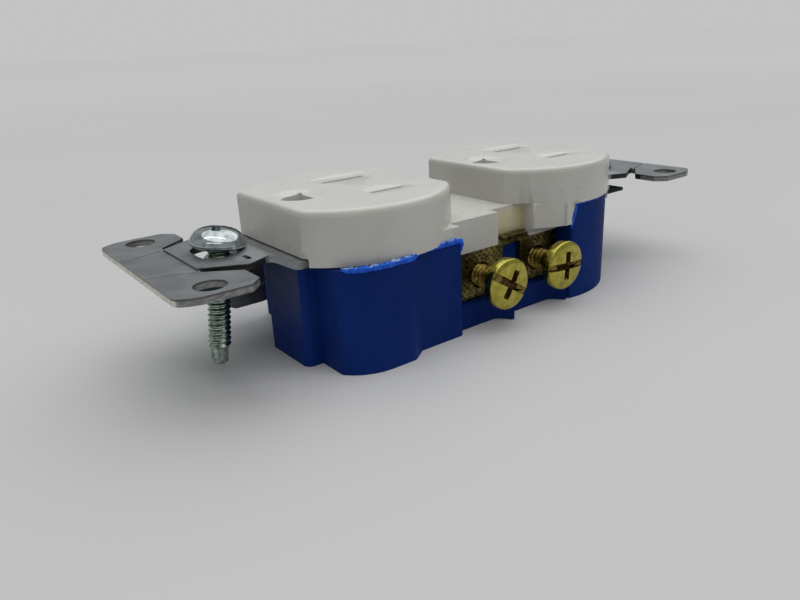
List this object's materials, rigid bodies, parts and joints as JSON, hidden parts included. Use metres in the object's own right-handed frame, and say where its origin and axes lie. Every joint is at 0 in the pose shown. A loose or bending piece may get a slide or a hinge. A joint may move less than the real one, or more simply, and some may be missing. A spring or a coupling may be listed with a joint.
{
  "type": "duplex wall outlet",
  "caption": "Grounded duplex wall receptacle on a steel mounting strap with break-off ears, side wiring screws, a ground terminal and captive box screws.",
  "frame": {"origin": "under the middle of the back, where the part lies on a surface", "axes": "+X along the strap away from the ground holes' end, +Z out of the wall, hot side towards -Y"},
  "size_m": [0.106, 0.0386, 0.0239],
  "materials": {
    "white_cover": "semi-gloss moulded thermoplastic, warm white",
    "blue_body": "semi-matte moulded thermoplastic, deep blue",
    "galvanised_strap": "galvanised steel strip, dull grey",
    "brass_bus": "stamped brass strip, terminal plates dimpled",
    "steel_rivet": "plain steel rivet",
    "brass_screw": "bright yellow brass plating",
    "nickel_screw": "silver-coloured plating",
    "green_screw": "green-dyed plating",
    "zinc_screw": "bright zinc plating",
    "fibre_washer": "dark vulcanised fibre"
  },
  "bodies": {
    "device": {"back_body": "blue_body", "face_cover": "white_cover", "mounting_strap": "galvanised_strap", "hot_bus": "brass_bus", "neutral_bus": "brass_bus", "ground_contact_lower": "brass_bus", "ground_contact_upper": "brass_bus", "ground_rivet_lower": "steel_rivet", "ground_rivet_upper": "steel_rivet"},
    "hot_terminal_lower": {"hot_screw_lower": "brass_screw"},
    "hot_terminal_upper": {"hot_screw_upper": "brass_screw"},
    "neutral_terminal_lower": {"neutral_screw_lower": "nickel_screw"},
    "neutral_terminal_upper": {"neutral_screw_upper": "nickel_screw"},
    "ground_terminal": {"ground_screw": "green_screw"},
    "box_screw_lower": {"mounting_screw_lower": "zinc_screw", "retainer_washer_lower": "fibre_washer"},
    "box_screw_upper": {"mounting_screw_upper": "zinc_screw", "retainer_washer_upper": "fibre_washer"}
  },
  "joints": [
    {"name": "hot_lower_drive", "type": "slide", "parent": "device", "child": "hot_terminal_lower", "axis": [0, 1, 0], "range_m": [0, 0.0033]},
    {"name": "hot_upper_drive", "type": "slide", "parent": "device", "child": "hot_terminal_upper", "axis": [0, 1, 0], "range_m": [0, 0.0033]},
    {"name": "neutral_lower_drive", "type": "slide", "parent": "device", "child": "neutral_terminal_lower", "axis": [0, -1, 0], "range_m": [0, 0.0033]},
    {"name": "neutral_upper_drive", "type": "slide", "parent": "device", "child": "neutral_terminal_upper", "axis": [0, -1, 0], "range_m": [0, 0.0033]},
    {"name": "ground_drive", "type": "slide", "parent": "device", "child": "ground_terminal", "axis": [0, -1, 0], "range_m": [0, 0.0033]},
    {"name": "box_lower_lift", "type": "slide", "parent": "device", "child": "box_screw_lower", "axis": [0.1305, 0, 0.9914], "range_m": [0, 0.0016]},
    {"name": "box_upper_lift", "type": "slide", "parent": "device", "child": "box_screw_upper", "axis": [0, 0, 1], "range_m": [0, 0.0028]}
  ]
}
